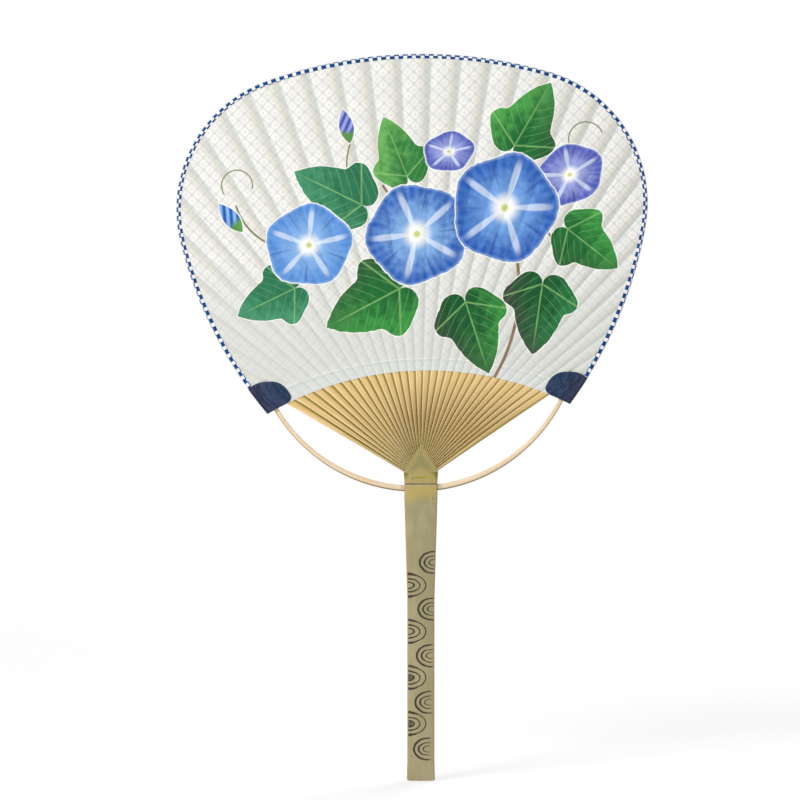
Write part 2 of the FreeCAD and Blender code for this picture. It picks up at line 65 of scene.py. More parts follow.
class Wire:
    """A node socket that can stand in a sum. Each sum adds the node that works it out."""

    def __init__(self, tree, socket=None):
        self.tree = tree
        self.socket = socket

    def node(self, kind, settings=None, sockets=None, out=0):
        """Adds any node: its settings first, then the values or wires of its sockets."""
        made = self.tree.nodes.new(kind)
        for name, value in (settings or {}).items():
            setattr(made, name, value)
        for name, value in (sockets or {}).items():
            if isinstance(value, Wire):
                self.tree.links.new(value.socket, made.inputs[name])
            else:
                made.inputs[name].default_value = value
        return Wire(self.tree, made.outputs[out]) if made.outputs else None

    def math(self, operation, *values):
        return self.node("ShaderNodeMath", {"operation": operation}, dict(enumerate(values)))

    __add__ = __radd__ = sum_by("ADD")
    __mul__ = __rmul__ = sum_by("MULTIPLY")
    __sub__ = sum_by("SUBTRACT")
    __truediv__ = sum_by("DIVIDE")
    __pow__ = sum_by("POWER")
    __gt__ = sum_by("GREATER_THAN")
    __abs__ = sum_by("ABSOLUTE")
    sign = sum_by("SIGN")
    whole = sum_by("ROUND")
    floor = sum_by("FLOOR")
    least = sum_by("MINIMUM")
    most = sum_by("MAXIMUM")
    root = sum_by("SQRT")
    sin = sum_by("SINE")
    cos = sum_by("COSINE")
    arcsine = sum_by("ARCSINE")
    arctan = sum_by("ARCTAN2")
    exp = sum_by("EXPONENT")

    def __rsub__(self, other):
        return self.math("SUBTRACT", other, self)

    def __rtruediv__(self, other):
        return self.math("DIVIDE", other, self)

    def __neg__(self):
        return self * -1

    def between(self, low, high):
        """Rises softly from 0 at low to 1 at high, or falls if high is the lower of the two."""
        return self.node(
            "ShaderNodeMapRange", {"interpolation_type": "SMOOTHSTEP"}, {0: self, 1: low, 2: high}
        )

    def hump(self, width):
        """1 where the value is 0, and soft to nothing at about twice the width."""
        share = self / width
        return (-(share * share)).exp()


def parts(vector):
    """The three numbers of a vector."""
    made = vector.node("ShaderNodeSeparateXYZ", {}, {0: vector}).socket.node
    return [Wire(vector.tree, socket) for socket in made.outputs]


# %% [markdown]
# ## Measures of the head
# The head is easiest to describe from the point that all ribs spread from, with the head standing
# straight. Lengths are in millimetres there, as on the maker's drawing. The rim is three arcs that
# run smoothly into each other, and a fourth arc cuts the paper off above the handle. The whole
# head then leans a little on its stick.

# %% Sizes from the drawing
MM = 0.001
FAN_CENTRE = 158.2
LEAN = math.radians(1.9)

# The ribs: their number, how far they spread, and how they bunch towards the sides
RIB_COUNT = 32
MIDDLE_RIB = (RIB_COUNT - 1) / 2
FAN_HALF_ANGLE = math.radians(59.018)
BUNCH = math.radians(45)
SPREAD = FAN_HALF_ANGLE / math.sin(BUNCH)
DRIFT = 0.05

# The arcs of the rim: how far each one's middle lies aside and up, and its radius
CROWN = (0, -20.0, 237.0)
SHOULDER = (51.544, 138.636, 70.2)
SIDE = (-94.003, 169.043, 218.889)

# Where crown and shoulder end: how far the rim has turned, and the angle from the fan's centre
CROWN_END, SHOULDER_END = math.radians(18), math.radians(101.8)
CROWN_SEEN, SHOULDER_SEEN = math.radians(19.624), math.radians(44.058)

# Arcs about the middle line: the height of the middle, and the radius
LOWER_EDGE = (-110.6, 164.0)
BOW = (76.529, 84.129)
THREAD = (-131.566, 191.166)

# The lower corner of the paper, then the peak of the stick's tongue and the slope of its sides
CORNER, CORNER_ANGLE = (78.0, 33.664), math.radians(66.656)
TONGUE, TONGUE_SLOPE = 16.0, 1.6685
print("ribs spread to", round(math.degrees(FAN_HALF_ANGLE), 2), "degrees each side")

# %% [markdown]
# A few sums on these sizes give what all the pieces share: the angle of a rib, and the way out to
# the rim and to the paper's lower edge. They could be read off the drawing point by point, but as
# sums they serve every tree and every finish below.

# %% Where the ribs lie
def spread(number):
    """Angle of a rib, counted from the left. The ribs bunch towards the sides, most at the right."""
    share = number / MIDDLE_RIB - 1
    return ((share + (1 - share * share) * DRIFT) * BUNCH).sin() * SPREAD


def rib_pitch(number):
    """Angle from one rib to the next."""
    return spread(number + 0.5) - spread(number - 0.5)


def rib_number(angle):
    """The rib, as a running number from the left, that lies at an angle."""
    moved = (angle / SPREAD).arcsine() / BUNCH - DRIFT
    share = (1 - (1 - moved * (4 * DRIFT)).root()) / (2 * DRIFT)
    return (share + 1) * MIDDLE_RIB


print("the ribs are numbered 0 to", RIB_COUNT - 1, "from the left")

# %% Where the rim and the other arcs lie
def rim_distance(angle):
    """Distance from the fan's centre to the rim, along an angle."""
    side = abs(angle)
    past_crown = side > CROWN_SEEN
    past_shoulder = side > SHOULDER_SEEN

    def pick(which):
        crown, shoulder, flank = CROWN[which], SHOULDER[which], SIDE[which]
        return crown + past_crown * (shoulder - crown) + past_shoulder * (flank - shoulder)

    x, z, radius = pick(0), pick(1), pick(2)
    along = side.sin() * x + side.cos() * z
    return along + (along * along - x * x - z * z + radius * radius).root()


def lower_distance(angle):
    """Distance from the fan's centre to the lower edge of the paper."""
    centre, radius = LOWER_EDGE
    along = angle.cos() * centre
    return along + (along * along + (radius**2 - centre**2)).root()


def off_arc(x, z, arc):
    """How far a place lies outside an arc about the middle line."""
    middle, radius = arc
    up = z - middle
    return (x * x + up * up).root() - radius


print("the rim is", CROWN[1] + CROWN[2], "mm above the fan's centre")

# %% [markdown]
# ## Pieces that a rule makes
# Geometry Nodes suit what repeats or follows a rule: a row of ribs, a ridged sheet, a strip along
# the rim. A tree starts from a plain block or tube, moves each point by the rule, and sets the head
# on its stick at the end. The result is turned into a plain mesh, so that nothing is left to work
# out later, and the sizes stay open as inputs of the tree.

# %% Open a tree and move its points
def open_tree(title, sizes):
    """A new geometry tree with named inputs, and a wire for each of them."""
    tree = bpy.data.node_groups.new(title, "GeometryNodeTree")
    tree.interface.new_socket("Geometry", in_out="OUTPUT", socket_type="NodeSocketGeometry")
    for name, value in sizes.items():
        kind = "NodeSocketInt" if isinstance(value, int) else "NodeSocketFloat"
        tree.interface.new_socket(name, in_out="INPUT", socket_type=kind)
    source = tree.nodes.new("NodeGroupInput")
    return tree, {name: Wire(tree, source.outputs[name]) for name in sizes}


def open_block(tree, size):
    """A block of columns and rows, two points deep, and the place of its points."""
    start = Wire(tree)
    counts = {"Vertices X": size["Columns"], "Vertices Y": 2, "Vertices Z": size["Rows"]}
    return start.node("GeometryNodeMeshCube", {}, counts), parts(start.node("GeometryNodeInputPosition"))


def store(mesh, name, value, domain="POINT"):
    """Keeps a number on every point or instance, for the rule or the finish to read."""
    sockets = {"Geometry": mesh, "Name": name, "Value": value}
    return mesh.node("GeometryNodeStoreNamedAttribute", {"domain": domain}, sockets)


def set_points(mesh, x, y, z):
    """Moves every point to the place that the rule gives it."""
    place = mesh.node("ShaderNodeCombineXYZ", {}, {0: x, 1: y, 2: z})
    return mesh.node("GeometryNodeSetPosition", {}, {"Geometry": mesh, "Position": place})


# %% Close a tree
SHARP_FOLD = math.radians(40)


def close_tree(mesh, material):
    """Rounds the shading, sets the head on its stick, and gives the mesh its finish."""
    fold = mesh.node("GeometryNodeInputMeshEdgeAngle")
    soft = fold.node("FunctionNodeCompare", {"operation": "LESS_THAN"}, {0: fold, 1: SHARP_FOLD})
    for domain, smooth in (("FACE", True), ("EDGE", soft)):
        sockets = {"Geometry": mesh, "Shade Smooth": smooth}
        mesh = mesh.node("GeometryNodeSetShadeSmooth", {"domain": domain}, sockets)
    stand = {"Translation": (0, 0, FAN_CENTRE * MM), "Rotation": (0, -LEAN, 0), "Scale": (MM,) * 3}
    mesh = mesh.node("GeometryNodeTransform", {}, {"Geometry": mesh, **stand})
    mesh = mesh.node("GeometryNodeRealizeInstances", {}, {"Geometry": mesh})
    mesh = mesh.node("GeometryNodeSetMaterial", {}, {"Geometry": mesh, "Material": material})
    mesh.node("NodeGroupOutput", {}, {"Geometry": mesh})


print("folds over", round(math.degrees(SHARP_FOLD)), "degrees stay sharp")

# %% Keep what a tree makes
def add(name, data):
    """A new object in the scene."""
    made = bpy.data.objects.new(name, data)
    scene.collection.objects.link(made)
    return made


def settle(piece, modifier):
    """Keeps what a modifier makes as the piece's own plain mesh."""
    graph = bpy.context.evaluated_depsgraph_get()
    shaped = piece.evaluated_get(graph)
    made = bpy.data.meshes.new_from_object(shaped, preserve_all_data_layers=True, depsgraph=graph)
    piece.modifiers.remove(modifier)
    piece.data = made
    print(piece.name, "has", len(made.polygons), "faces")


def grow(name, tree, sizes):
    """Runs a tree and keeps what it makes."""
    piece = add(name, bpy.data.meshes.new(name))
    modifier = piece.modifiers.new("Shape", "NODES")
    modifier.node_group = tree
    for socket in tree.interface.items_tree:
        if socket.in_out == "INPUT":
            modifier[socket.identifier] = sizes[socket.name]
    settle(piece, modifier)
    return piece


# %% [markdown]
# ## Finishes
# Every finish is a Principled shader. What changes over the surface is a colour, a roughness and a
# height for the Bump node, and all the rest is set on the shader itself. Colours are written as
# they would read on a screen, and turned into the linear values that light works with.

# %% Colours and grain
def tint(red, green, blue):
    """A screen colour, each part 0 to 255, in linear light."""
    shares = [part / 255 for part in (red, green, blue)]
    return (*[s / 12.92 if s <= 0.04045 else ((s + 0.055) / 1.055) ** 2.4 for s in shares], 1.0)


def over(share, above, below):
    """One colour laid over another by a share. Inputs 6 and 7 of a Mix node are its colours."""
    above, below = (tone if isinstance(tone, Wire) else tint(*tone) for tone in (above, below))
    return share.node("ShaderNodeMix", {"data_type": "RGBA"}, {0: share, 6: below, 7: above}, 2)


def grain(vector, stretch, detail=2.0, roughness=0.5):
    """Cloudy noise from 0 to 1, with its own number of clouds per millimetre each way."""
    drawn = vector.node("ShaderNodeVectorMath", {"operation": "MULTIPLY"}, {0: vector, 1: stretch})
    sockets = {"Vector": drawn, "Scale": 1.0, "Detail": detail, "Roughness": roughness}
    return drawn.node("ShaderNodeTexNoise", {}, sockets)


# %% Open and close a finish
def bare(owner):
    """Clears the nodes of a finish or a sky, and gives a wire to start from."""
    owner.use_nodes = True
    owner.node_tree.nodes.clear()
    return Wire(owner.node_tree)


def read(spot, *names):
    """The numbers that a geometry tree stored on the points."""
    return [spot.node("ShaderNodeAttribute", {"attribute_name": name}, out="Fac") for name in names]


def open_finish(name, on_head):
    """A bare finish, and the place on the piece in millimetres, on the stick or on the head."""
    material = bpy.data.materials.new(name)
    start = bare(material)
    place = start.node("ShaderNodeTexCoord", out="Object")
    stand = {"Vector": place, "Scale": (MM,) * 3}
    if on_head:
        stand.update({"Location": (0, 0, FAN_CENTRE * MM), "Rotation": (0, -LEAN, 0)})
    return material, place.node("ShaderNodeMapping", {"vector_type": "TEXTURE"}, stand)


def close_finish(material, colour, roughness, height, specular):
    """Joins colour, roughness and a height in millimetres into a shader."""
    normal = height.node("ShaderNodeBump", {}, {"Strength": 1.0, "Distance": MM, "Height": height})
    sockets = {"Base Color": colour, "Roughness": roughness, "Normal": normal}
    sockets["Specular IOR Level"] = specular
    shader = normal.node("ShaderNodeBsdfPrincipled", {}, sockets)
    shader.node("ShaderNodeOutputMaterial", {}, {"Surface": shader})
    print(material.name, "is worked out by", len(material.node_tree.nodes), "nodes")


def dress(name, material):
    """Gives a drawn piece its finish."""
    finishes = nodes[name].data.materials
    finishes.clear()
    finishes.append(material)


# %% [markdown]
# ## The handle
# The handle is one flat stick with the green-grey skin of the bamboo on its front, and a joint of
# the bamboo just under the ribs. Its drawn shape is right, so it keeps its mesh and only needs a
# finish. The skin is even and slightly waxy with fine lines along the stick. The cut sides and the
# back show the paler wood inside, which is told apart by the way each face looks. A yellow patch
# lies under the joint, and a short greenish scar above it. The joint itself is a dark crack with a
# pale lip, and where the ribs begin, the skin shows the first of their splits.

# %% Bamboo skin
JOINT_HEIGHT, SCAR_HEIGHT = 153.0, 156.4
skin, spot = open_finish("bamboo skin", False)
x, _, z = parts(spot)
facing = parts(spot.node("ShaderNodeNewGeometry", out="Normal"))[1]
front = (-facing).between(0.72, 0.93)
behind = facing.between(0.3, 0.8)

streaks = grain(spot, (2.6, 2.6, 0.05), 3.0, 0.65)
clouds = grain(spot, (0.22, 0.22, 0.09), 2.0)
fibres = grain(spot, (9.0, 9.0, 0.12), 2.0)

colour = over(clouds.between(0.35, 0.7), (168, 158, 121), (157, 148, 109))
colour = over(z.between(40, 8) * 0.5, (172, 161, 126), colour)
ragged = z - JOINT_HEIGHT + (clouds - 0.5) * 9 - x * 0.18
yellow = ragged.between(-11.0, -5.5) * ragged.between(1.0, -1.5)
colour = over(yellow * 0.85, (186, 165, 92), colour)
colour = over(z.between(JOINT_HEIGHT, JOINT_HEIGHT + 1.0) * 0.9, (174, 155, 93), colour)
colour = over((z + abs(x) * 0.5).between(158.5, 164.0) * 0.9, (143, 136, 84), colour)
scar = (z - SCAR_HEIGHT + (streaks - 0.5) * 0.4).hump(0.48)
scar = scar * x.between(-4.6, -2.4) * x.between(8.6, 7.2)
greenish = over(x.between(0.5, 4.0), (168, 158, 42), (138, 136, 16))
colour = over(scar * 0.95, greenish, colour)
print("bamboo skin: a yellow patch under the joint and a scar above it")

# %% Cut sides, joint and first splits
inside = over(fibres.between(0.3, 0.72), (214, 194, 148), (188, 164, 114))
cut = over(fibres.between(0.3, 0.72), (190, 162, 108), (160, 130, 78))
colour = over(front, colour, over(behind, inside, cut))

lip = (z - (JOINT_HEIGHT - 0.55) + (clouds - 0.5) * 0.5).hump(0.3)
colour = over(lip * 0.55, (216, 196, 158), colour)
crack = (z - JOINT_HEIGHT + (grain(spot, (0.9, 0.9, 0.0), 3.0) - 0.5) * 0.55).hump(0.3)
colour = over(crack * 0.9, (74, 55, 28), colour)
slope = z - (FAN_CENTRE + TONGUE - abs(x) * TONGUE_SLOPE)
splits = rib_number(x.arctan(z - FAN_CENTRE) + LEAN)
splits = abs(splits - splits.whole()).between(0.2, 0.42)
near_ribs = (slope + (clouds - 0.5) * 5.0).between(-7.0, -2.5) * front
colour = over((1 - splits) * near_ribs * 0.8, (200, 182, 120), colour)
colour = over(splits * near_ribs * 0.9, (106, 94, 32), colour)
print("bamboo skin: a joint", JOINT_HEIGHT, "mm up the stick")

# %% [markdown]
# ### The ripples in ink
# A row of ripples runs down the stick, three lines each, from the right edge and the left edge in
# turn. A motif could be a drawn curve, but ink has no thickness, so it belongs in the finish. Each
# row repeats by folding the height into one period, and an oval measured from the edge gives all
# three lines at once. A little noise moves the brush, and the lines thin out where it lifts.

# %% Ink ripples
FIRST_LINE, LINE_PITCH, LINE_COUNT = 0.36, 0.32, 3
wander = (grain(spot, (0.35, 0.35, 0.35), 1.0) - 0.5) * 0.9
heavy = grain(spot, (0.5, 0.5, 0.5), 2.0)


def ripples(first, pitch, count, edge, drift, width, height, lift):
    """The ink of one row of ripples, and the way across, oval and number that it was drawn from."""
    number = ((z - first) / pitch).whole().most(0).least(count - 1)
    across = (x - edge - number * drift) / width
    up = (z - first - number * pitch + wander) / height
    oval = (across * across + up * up).root()
    up = up * (1.4 - oval.least(1.2) * 0.4)
    oval = (across * across + up * up).root()
    line = ((oval - FIRST_LINE) / LINE_PITCH).whole().most(0).least(LINE_COUNT - 1)
    ring = line * LINE_PITCH + FIRST_LINE
    light, full, press = lift
    weight = 0.18 + 0.22 * press * across.between(light, full) + 0.16 * heavy
    stroke = (weight - abs(oval - ring) * ((width + height) / 2)).between(-0.1, 0.1)
    return stroke, across, oval, number


right_row = dict(first=16.4, pitch=24.05, count=5, edge=3.9, drift=0.75, width=7.5, height=5.6)
left_row = dict(first=29.4, pitch=23.8, count=4, edge=-6.9, drift=0.0, width=9.4, height=5.8)
right, reach, _, _ = ripples(**right_row, lift=(-0.1, -0.9, 1.0))
right = right * (reach + (heavy - 0.5) * 0.2).between(0.24, -0.06)
left, reach, oval, number = ripples(**left_row, lift=(0.75, 0.0, 1.3))
begun = reach.between(-0.2, -0.05)
left = left * begun
blot = oval.between(FIRST_LINE, 0.28) * number.between(1.6, 1.2) * heavy.between(0.3, 0.5) * begun
ink = right.most(left).most(blot * 0.85) * front
colour = over(ink * 0.96, (30, 18, 8), colour)
for place, size in (((-4.4, 156.1), 0.42), ((6.2, 145.8), 0.32), ((-4.9, 12.9), 0.35)):
    speck = off_arc(x - place[0], z, (place[1], 0.0))
    colour = over(speck.between(size * 1.5, size * 0.5) * front * 0.8, (84, 68, 56), colour)

colour = over(streaks.between(0.35, 0.75) * 0.16, (120, 108, 70), colour)
relief = streaks * 0.05 + fibres * 0.02 - crack * 0.1 + lip * 0.06
close_finish(skin, colour, 0.42 + fibres * 0.16 - ink * 0.1, relief, 0.4)
dress("handle", skin)
print("handle:", right_row["count"], "ripples on the right and", left_row["count"], "on the left")

# %% [markdown]
# ## The ribs
# Above the joint the stick is split into ribs. Each leaves the tongue of the stick standing nearly
# on edge, and turns as it spreads until it lies flat under the paper, so from the front the ribs
# close up like the slats of a blind. Towards the sides their roots lie further apart. A rib could be
# modelled once and copied, but each has its own length and place, so a tree makes them all: it sets
# out a short tube for every rib, and moves its points by the rule. Each tube is pressed into a slat
# with a soft crown. Small seeded changes of angle and width keep the row from looking machined.

# %% Split bamboo
split, spot = open_finish("split bamboo", True)
along, inner, across, own = read(spot, "along", "inner", "across", "own")
u, depth, w = parts(spot)
turned = spot.node("ShaderNodeCombineXYZ", {}, {0: u.arctan(w) * 60, 1: depth, 2: along})
fibre = grain(turned, (1.6, 3.0, 0.03), 3.0, 0.65)
coarse = grain(turned, (0.5, 0.9, 0.02), 2.0)
colour = over(inner.between(0.0, 0.7), (234, 203, 144), (230, 208, 150))
colour = over(own * 0.35, (224, 190, 126), colour)
colour = over(fibre.between(0.4, 0.62) * 0.42, (204, 166, 100), colour)
colour = over(coarse.between(0.5, 0.66) * 0.4, (246, 216, 172), colour)
# A painted highlight along the lit left edge of each rib.
colour = over((-across).between(0.5, 0.85) * 0.6, (255, 232, 186), colour)
shaded = (across - inner * 0.34 + 0.22).between(0.0, 0.36)
shade = over(inner, (158, 136, 60), (126, 118, 16))
colour = over(shaded * (0.76 + (-u).between(0, 8) * 0.2), shade, colour)
# Near the tongue the ribs take the pale olive of the stick's skin, lightened further as painted light
# against the shade at the roots.
root_skin_and_light = inner.between(0.28, 0.04) * (0.12 + abs(u).between(9, 3) * 0.5)
colour = over(root_skin_and_light, (200, 186, 124), colour)
close_finish(split, colour, 0.58 + fibre * 0.2, fibre * 0.05, 0.12)

# %% The tree of the ribs
rib_sizes = {
    "Count": RIB_COUNT,
    "Fill": 0.985,
    "Root width": 3.1,
    "Tip width": 3.0,
    "Thickness": 0.44,
    "Sink": 0.7,
    "Root twist": math.radians(22),
    "Set out": 2.8,
    "Set out power": 5.0,
    "Unevenness": 0.0006,
    "Seed": 7,
}
tree, size = open_tree("Split ribs", rib_sizes)
start = Wire(tree)
row = start.node("GeometryNodeMeshLine", {}, {"Count": size["Count"], "Offset": (0, 0, 0)})
counts = {"Vertices": 16, "Side Segments": 48, "Radius": 1.0, "Depth": 1.0}
tube = start.node("GeometryNodeMeshCylinder", {}, counts)
slats = row.node("GeometryNodeInstanceOnPoints", {}, {"Points": row, "Instance": tube})
slats = store(slats, "rib", start.node("GeometryNodeInputIndex"), "INSTANCE")
slats = slats.node("GeometryNodeRealizeInstances", {}, {"Geometry": slats})
rib = slats.node("GeometryNodeInputNamedAttribute", {}, {"Name": "rib"})


def chance(low, high, turn):
    """A seeded number of each rib's own."""
    sockets = {2: low, 3: high, "ID": rib, "Seed": size["Seed"] + turn}
    return rib.node("FunctionNodeRandomValue", {}, sockets, 1)


print("a row of", RIB_COUNT, "tubes is set out")

# %% The rule that bends each tube into a rib
# The share of a tube that stays outside the paper, and the share of the rest where its width settles
BARE_SHARE, SETTLING = 0.7, 0.3
# How far outside the paper a rib already lies flat, and how far its tip stays inside the rim
FLAT_BEFORE, TIP_GAP = 1.0, 0.5
px, py, pz = parts(start.node("GeometryNodeInputPosition"))
angle = spread(rib) + chance(-1.0, 1.0, 0) * size["Unevenness"]
heading = angle - LEAN
root = TONGUE / (heading.cos() + abs(heading.sin()) * TONGUE_SLOPE) - size["Sink"]
flat = lower_distance(angle) - FLAT_BEFORE
half_tip = size["Tip width"] * 0.6 / rim_distance(angle)
tip = rim_distance(angle - half_tip).least(rim_distance(angle + half_tip)) - TIP_GAP
inner = ((pz + 0.5) / BARE_SHARE).least(1.0)
outer = ((pz + 0.5 - BARE_SHARE) / (1 - BARE_SHARE)).most(0.0)
reach = root + (flat - root) * inner + (tip - flat) * outer
twist = size["Root twist"] + (math.pi / 2 - size["Root twist"]) * inner**1.15
flat_width = rib_pitch(rib) * lower_distance(angle) * size["Fill"]
width = size["Root width"] + (flat_width - size["Root width"]) * inner
width = width + (size["Tip width"] - flat_width) * outer.least(SETTLING) * (1 / SETTLING)
wide = (px * 1.25).least(1.0).most(-1.0) * width * chance(0.49, 0.505, 1)
thin = py * size["Thickness"] * (0.8 + inner * 0.2) * chance(0.46, 0.54, 2)
aside = twist.sin() * wide - twist.cos() * thin
set_out = abs(angle / FAN_HALF_ANGLE) ** size["Set out power"] * size["Set out"]
aside = aside + angle.sign() * set_out * (1 - inner) ** 1.3
x = angle.sin() * reach + angle.cos() * aside
z = angle.cos() * reach - angle.sin() * aside
y = twist.cos() * wide + twist.sin() * thin
for name, value in (
    ("along", reach),
    ("inner", inner),
    ("across", px * (py * -4).least(1).most(-1)),
    ("own", chance(0.0, 1.0, 3)),
):
    slats = store(slats, name, value)
close_tree(set_points(slats, x, y, z), split)
ribs = grow("ribs", tree, rib_sizes)

# %% [markdown]
# ## The relief of the paper
# Two sheets are pasted over the ribs and onto each other between them, so the head is ribbed like
# a shell: a soft arch over each rib, and a sharp fold where the sheets meet. The thread that keeps
# the ribs apart lifts the paper in a low bead, and the ends of the bow swell it at the corners. The
# same height serves both sheets, and the strip on the rim, which follows the arches too.

# %% Height of the paper
FOLD_LEVEL, THREAD_BEAD, BOW_SWELL = 0.24, 0.24, 0.7


def paper_height(x, z, angle, number, distance):
    """How far the outer face of the paper lies from the middle of the fan."""
    off = number - number.whole()
    arch = 1 - off * off * 4
    rise = 0.24 + distance.between(50, 165) * 0.42
    ribbed = abs(number - MIDDLE_RIB).between(MIDDLE_RIB + 0.75, MIDDLE_RIB + 0.25)
    woven = off_arc(x, z, THREAD).hump(0.8) * THREAD_BEAD
    at_tip = abs(angle).between(math.radians(57.5), math.radians(59.5))
    bowed = off_arc(x, z, BOW).hump(2.0) * at_tip * BOW_SWELL
    return FOLD_LEVEL + arch * rise * ribbed + woven + bowed


print("in the folds the paper lies", FOLD_LEVEL, "mm from the middle of the fan")

# %% The tree of a sheet
sheet_sizes = {
    "Columns": 366,
    "Rows": 76,
    "Half angle": CORNER_ANGLE - math.radians(0.5),
    "Thickness": 0.2,
    "Inset": 0.2,
    "Side": -1.0,
}


def gather(running):
    """Running rib numbers drawn together at the folds, which lie halfway between two ribs."""
    nearest = running.whole()
    return nearest + ((running - nearest) * math.pi).sin() * 0.5


def loosen(number):
    """The running number that gather turns into this one."""
    nearest = number.whole()
    return nearest + ((number - nearest) * 2).arcsine() / math.pi


def sheet_tree(title, material):
    """A closed sheet over the ribs. Its columns gather at the folds, and its rows at the lower edge."""
    tree, size = open_tree(title, sheet_sizes)
    block, (px, py, pz) = open_block(tree, size)
    first, last = (loosen(rib_number(size["Half angle"] * side)) for side in (-1, 1))
    number = gather(first + (last - first) * (px + 0.5))
    angle = spread(number)
    near = lower_distance(angle)
    far = rim_distance(angle) - size["Inset"]
    distance = near + (far - near) * (pz + 0.5) ** 1.7
    x = angle.sin() * distance
    z = angle.cos() * distance
    height = paper_height(x, z, angle, number, distance)
    y = (height - size["Thickness"] * 0.5) * size["Side"] + py * size["Thickness"]
    close_tree(set_points(block, x, y, z), material)
    return tree


print("a sheet runs", round(math.degrees(CORNER_ANGLE), 1), "degrees each side of the middle")

# %% [markdown]
# ## The paper
# The front sheet is printed: a ground of small dyed squares with a dot in each, as on tie-dyed
# cloth, set on the slant. It is only a shade darker than the paper, so it stays a quiet texture.
# Over it lies a summer picture of blue bellflowers of the vine kind, with green leaves. Paint has
# no thickness, so all of it is worked out in the finish, from the place on the head.

# %% Shade and tooth of thin paper
def rib_place(u, w):
    """Where a place lies between two folds of the paper: -0.5 to 0.5, and 0 on the rib."""
    number = rib_number(u.arctan(w))
    return number - number.whole()


def painted_paper_shade(colour, u, w):
    """Painted shade of thin paper over ribs: warm past the rib, and grey in the fold."""
    off = rib_place(u, w)
    open_part = w.between(58, 120)
    # Warm past the rib: the rib shows through, and a painted half-shade begins on the flank.
    past = off.between(0.02, 0.26) * off.between(0.46, 0.3)
    colour = over(past * (0.3 + open_part * 0.7) * 0.36, (224, 211, 190), colour)
    # Painted grey shade in the fold between two ribs.
    fold = off.between(0.17, 0.4).most((-off).between(0.43, 0.5))
    return over(fold * 0.42 * (0.45 + open_part * 0.55), (184, 194, 186), colour)


def paper_relief(spot):
    """The fine tooth of the paper, in millimetres."""
    return grain(spot, (2.2, 2.2, 2.2), 3.0, 0.6) * 0.035 + grain(spot, (0.12, 0.12, 0.12), 2.0) * 0.1


# %% The printed ground
SQUARE = 6.3
printed, spot = open_finish("printed paper", True)
u, _, w = parts(spot)
drift = (grain(spot, (0.05, 0.05, 0.05), 1.0) - 0.5) * 1.4
p = (u + w + drift) / SQUARE
q = (u - w + drift) / SQUARE
p, q = p - p.whole(), q - q.whole()
square = (p**4 + q**4) ** 0.25
dot = (p * p + q * q).root()
patchy = grain(spot, (0.16, 0.16, 0.16), 2.0).between(0.25, 0.75)
clear = (0.55 + patchy * 0.45) * (0.62 + w.between(70, 130) * 0.38)
picture = over(square.between(0.49, 0.39) * clear, (245, 242, 233), (213, 216, 216))
picture = over(dot.between(0.24, 0.02) * clear * 0.62, (206, 205, 200), picture)
picture = over(w.between(125, 55) * 0.5, (209, 212, 202), picture)
picture = painted_paper_shade(picture, u, w)
thread = off_arc(u, w, THREAD)
picture = over(thread.between(-0.4, -1.4) * 0.16, (222, 229, 230), picture)
# A painted shadow just under the bead that the thread lifts in the paper.
picture = over((thread + 0.9).hump(0.5) * 0.22, (190, 198, 192), picture)
picture = over(thread.hump(0.35) * (0.2 + patchy * 0.4), (243, 244, 240), picture)
print("printed paper: squares of", SQUARE, "mm on the slant")

# %% [markdown]
# ### The picture
# Each motif is measured from its own middle: a Mapping node moves, turns and scales the head so
# that the motif has a radius of one, and then an angle and a distance are enough to draw it. A thin
# light line is left round every shape, as in a print, and washes of paint run from pale to deep.

# %% Brushes
PAPER_WHITE = (246, 245, 238)
brushed = grain(spot, (0.22, 0.22, 0.22), 3.0, 0.6)
uneven = brushed - 0.5
fine = grain(spot, (1.1, 1.1, 1.1), 2.0, 0.6)


def at_motif(place, turn, size, squash=1.0):
    """The head seen from a motif: right and up in its own size, distance and angle."""
    sockets = {
        "Vector": spot,
        "Location": (place[0], 0, place[1]),
        "Rotation": (0, -math.radians(turn), 0),
        "Scale": (size, 1e6, size * squash),
    }
    own = spot.node("ShaderNodeMapping", {"vector_type": "TEXTURE"}, sockets)
    x, _, z = parts(own)
    reach = own.node("ShaderNodeVectorMath", {"operation": "LENGTH"}, {0: own}, "Value")
    return x, z, reach, z.arctan(x)


def lay(picture, inside, paint):
    """Paint laid where inside, in millimetres, is above nought, with a light line round it."""
    picture = over(inside.between(-0.75, -0.3), PAPER_WHITE, picture)
    return over(inside.between(-0.1, 0.25), paint, picture)


def stem(picture, middle, radius, turn, span, width, paint):
    """A stroke along an arc, turned to its middle and half its span to either side."""
    _, _, reach, angle = at_motif(middle, turn, 1.0)
    line = width * (0.85 + 0.5 * brushed) - abs(reach - radius)
    inside = line.least((math.radians(span / 2) - abs(angle)) * radius)
    return over(inside.between(-0.12, 0.2), over(fine, (150, 128, 96), paint), picture)


# %% Leaves
LOBE_ANGLE = 1.15


